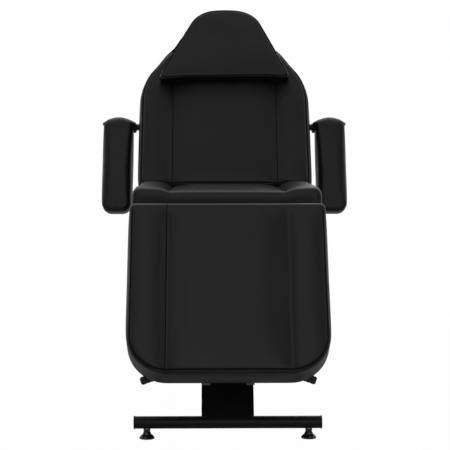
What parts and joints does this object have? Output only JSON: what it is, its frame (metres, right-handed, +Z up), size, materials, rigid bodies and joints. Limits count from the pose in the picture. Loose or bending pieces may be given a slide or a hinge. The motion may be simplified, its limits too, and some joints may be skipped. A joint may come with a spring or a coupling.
{
  "type": "adjustable massage table",
  "caption": "Padded treatment chair-bed on a fixed pedestal with folding backrest and footrest on gas springs, swinging armrests and a tapered head pillow.",
  "frame": {"origin": "on the floor, under the middle of the object's overall box as it stands", "axes": "+X towards the right of the picture, +Y from the footrest to the backrest, +Z up"},
  "size_m": [0.8838, 1.37, 1.3721],
  "materials": {
    "black_vinyl": "satin",
    "black_steel": "satin",
    "board": "matte",
    "black_plastic": "matte",
    "rubber_grip": "matte",
    "zinc_steel": "satin",
    "chrome_rod": "polished"
  },
  "bodies": {
    "base": {"front_tube": "black_steel", "rear_tube": "black_steel", "tube_caps": "black_plastic", "foot_sockets": "zinc_steel", "base_beam": "black_steel", "pedestal_left_side": "black_steel", "pedestal_right_side": "black_steel", "pedestal_front_panel": "black_steel", "pedestal_rear_panel": "black_steel", "pedestal_bottom_plate": "black_steel", "pedestal_top_plate": "black_steel", "pedestal_bolts": "zinc_steel", "seat_left_rail": "black_steel", "seat_right_rail": "black_steel", "seat_front_bar": "black_steel", "seat_rear_bar": "black_steel", "seat_board": "board", "seat_cushion": "black_vinyl", "footrest_hinge_ears": "black_steel", "footrest_hinge_pins": "zinc_steel", "backrest_hinge_ears": "black_steel", "backrest_hinge_pins": "zinc_steel", "footrest_spring_clevis": "black_steel", "backrest_spring_clevis": "black_steel", "front_left_foot": "black_plastic", "front_right_foot": "black_plastic", "rear_left_foot": "black_plastic", "rear_right_foot": "black_plastic"},
    "backrest": {"backrest_lower_bar": "black_steel", "backrest_upper_bar": "black_steel", "backrest_left_rail": "black_steel", "backrest_right_rail": "black_steel", "backrest_board": "board", "backrest_cushion": "black_vinyl", "backrest_ears": "black_steel", "backrest_spring_bracket": "black_steel", "left_arm_tube": "black_steel", "right_arm_tube": "black_steel"},
    "backrest_release": {"backrest_release_bar": "black_steel", "backrest_release_grips": "rubber_grip"},
    "backrest_cylinder": {"backrest_spring_cylinder": "black_steel"},
    "backrest_rod": {"backrest_spring_rod": "chrome_rod"},
    "footrest": {"footrest_left_rail": "black_steel", "footrest_right_rail": "black_steel", "footrest_rail_plugs": "black_plastic", "footrest_board": "board", "footrest_cushion": "black_vinyl", "footrest_spring_bracket": "black_steel"},
    "footrest_release": {"footrest_release_bar": "black_steel", "footrest_release_grips": "rubber_grip"},
    "footrest_cylinder": {"footrest_spring_cylinder": "black_steel"},
    "footrest_rod": {"footrest_spring_rod": "chrome_rod"},
    "left_armrest": {"left_armrest_pad": "black_vinyl", "left_armrest_bracket": "black_steel"},
    "right_armrest": {"right_armrest_pad": "black_vinyl", "right_armrest_bracket": "black_steel"},
    "pillow": {"head_pillow": "black_vinyl"}
  },
  "joints": [
    {"name": "backrest_hinge", "type": "hinge", "parent": "base", "child": "backrest", "pos_m": [0, 0.21482, 0.73], "axis": [1, 0, 0], "range_deg": [-58, 10]},
    {"name": "footrest_hinge", "type": "hinge", "parent": "base", "child": "footrest", "pos_m": [0, -0.32618, 0.629], "axis": [1, 0, 0], "range_deg": [-59, 8]},
    {"name": "left_armrest_pivot", "type": "hinge", "parent": "backrest", "child": "left_armrest", "pos_m": [-0.26, 0.4692, 0.94838], "axis": [1, 0, 0], "range_deg": [-100, 20]},
    {"name": "right_armrest_pivot", "type": "hinge", "parent": "backrest", "child": "right_armrest", "pos_m": [0.26, 0.4692, 0.94838], "axis": [1, 0, 0], "range_deg": [-100, 20]},
    {"name": "pillow_lift", "type": "slide", "parent": "backrest", "child": "pillow", "axis": [0, -0.848, 0.5299], "range_m": [0, 0.12]},
    {"name": "backrest_release_turn", "type": "hinge", "parent": "backrest", "child": "backrest_release", "pos_m": [0, 0.60899, 1.16644], "axis": [1, 0, 0], "range_deg": [-10, 0], "stiffness_Nm_per_rad": 2.5, "springref_deg": 20.05},
    {"name": "footrest_release_turn", "type": "hinge", "parent": "footrest", "child": "footrest_release", "pos_m": [0, -0.542, 0.24652], "axis": [1, 0, 0], "range_deg": [-9, 0], "stiffness_Nm_per_rad": 2.5, "springref_deg": 20.05},
    {"name": "backrest_cylinder_turn", "type": "hinge", "parent": "base", "child": "backrest_cylinder", "pos_m": [0, 0.20882, 0.4205], "axis": [1, 0, 0], "range_deg": [-29.5, 5.5]},
    {"name": "backrest_rod_turn", "type": "hinge", "parent": "backrest", "child": "backrest_rod", "pos_m": [0, 0.47514, 0.8975], "axis": [1, 0, 0], "range_deg": [-5.5, 29.5]},
    {"name": "footrest_cylinder_turn", "type": "hinge", "parent": "base", "child": "footrest_cylinder", "pos_m": [0, -0.08618, 0.569], "axis": [1, 0, 0], "range_deg": [-30, 5]},
    {"name": "footrest_rod_turn", "type": "hinge", "parent": "footrest", "child": "footrest_rod", "pos_m": [0, -0.39836, 0.39238], "axis": [1, 0, 0], "range_deg": [-5, 30]}
  ],
  "couplings": [
    {"joint": "backrest_cylinder_turn", "follows": "backrest_hinge", "ratio": 0.5},
    {"joint": "backrest_rod_turn", "follows": "backrest_hinge", "ratio": -0.5},
    {"joint": "footrest_cylinder_turn", "follows": "footrest_hinge", "ratio": 0.5},
    {"joint": "footrest_rod_turn", "follows": "footrest_hinge", "ratio": -0.5}
  ]
}
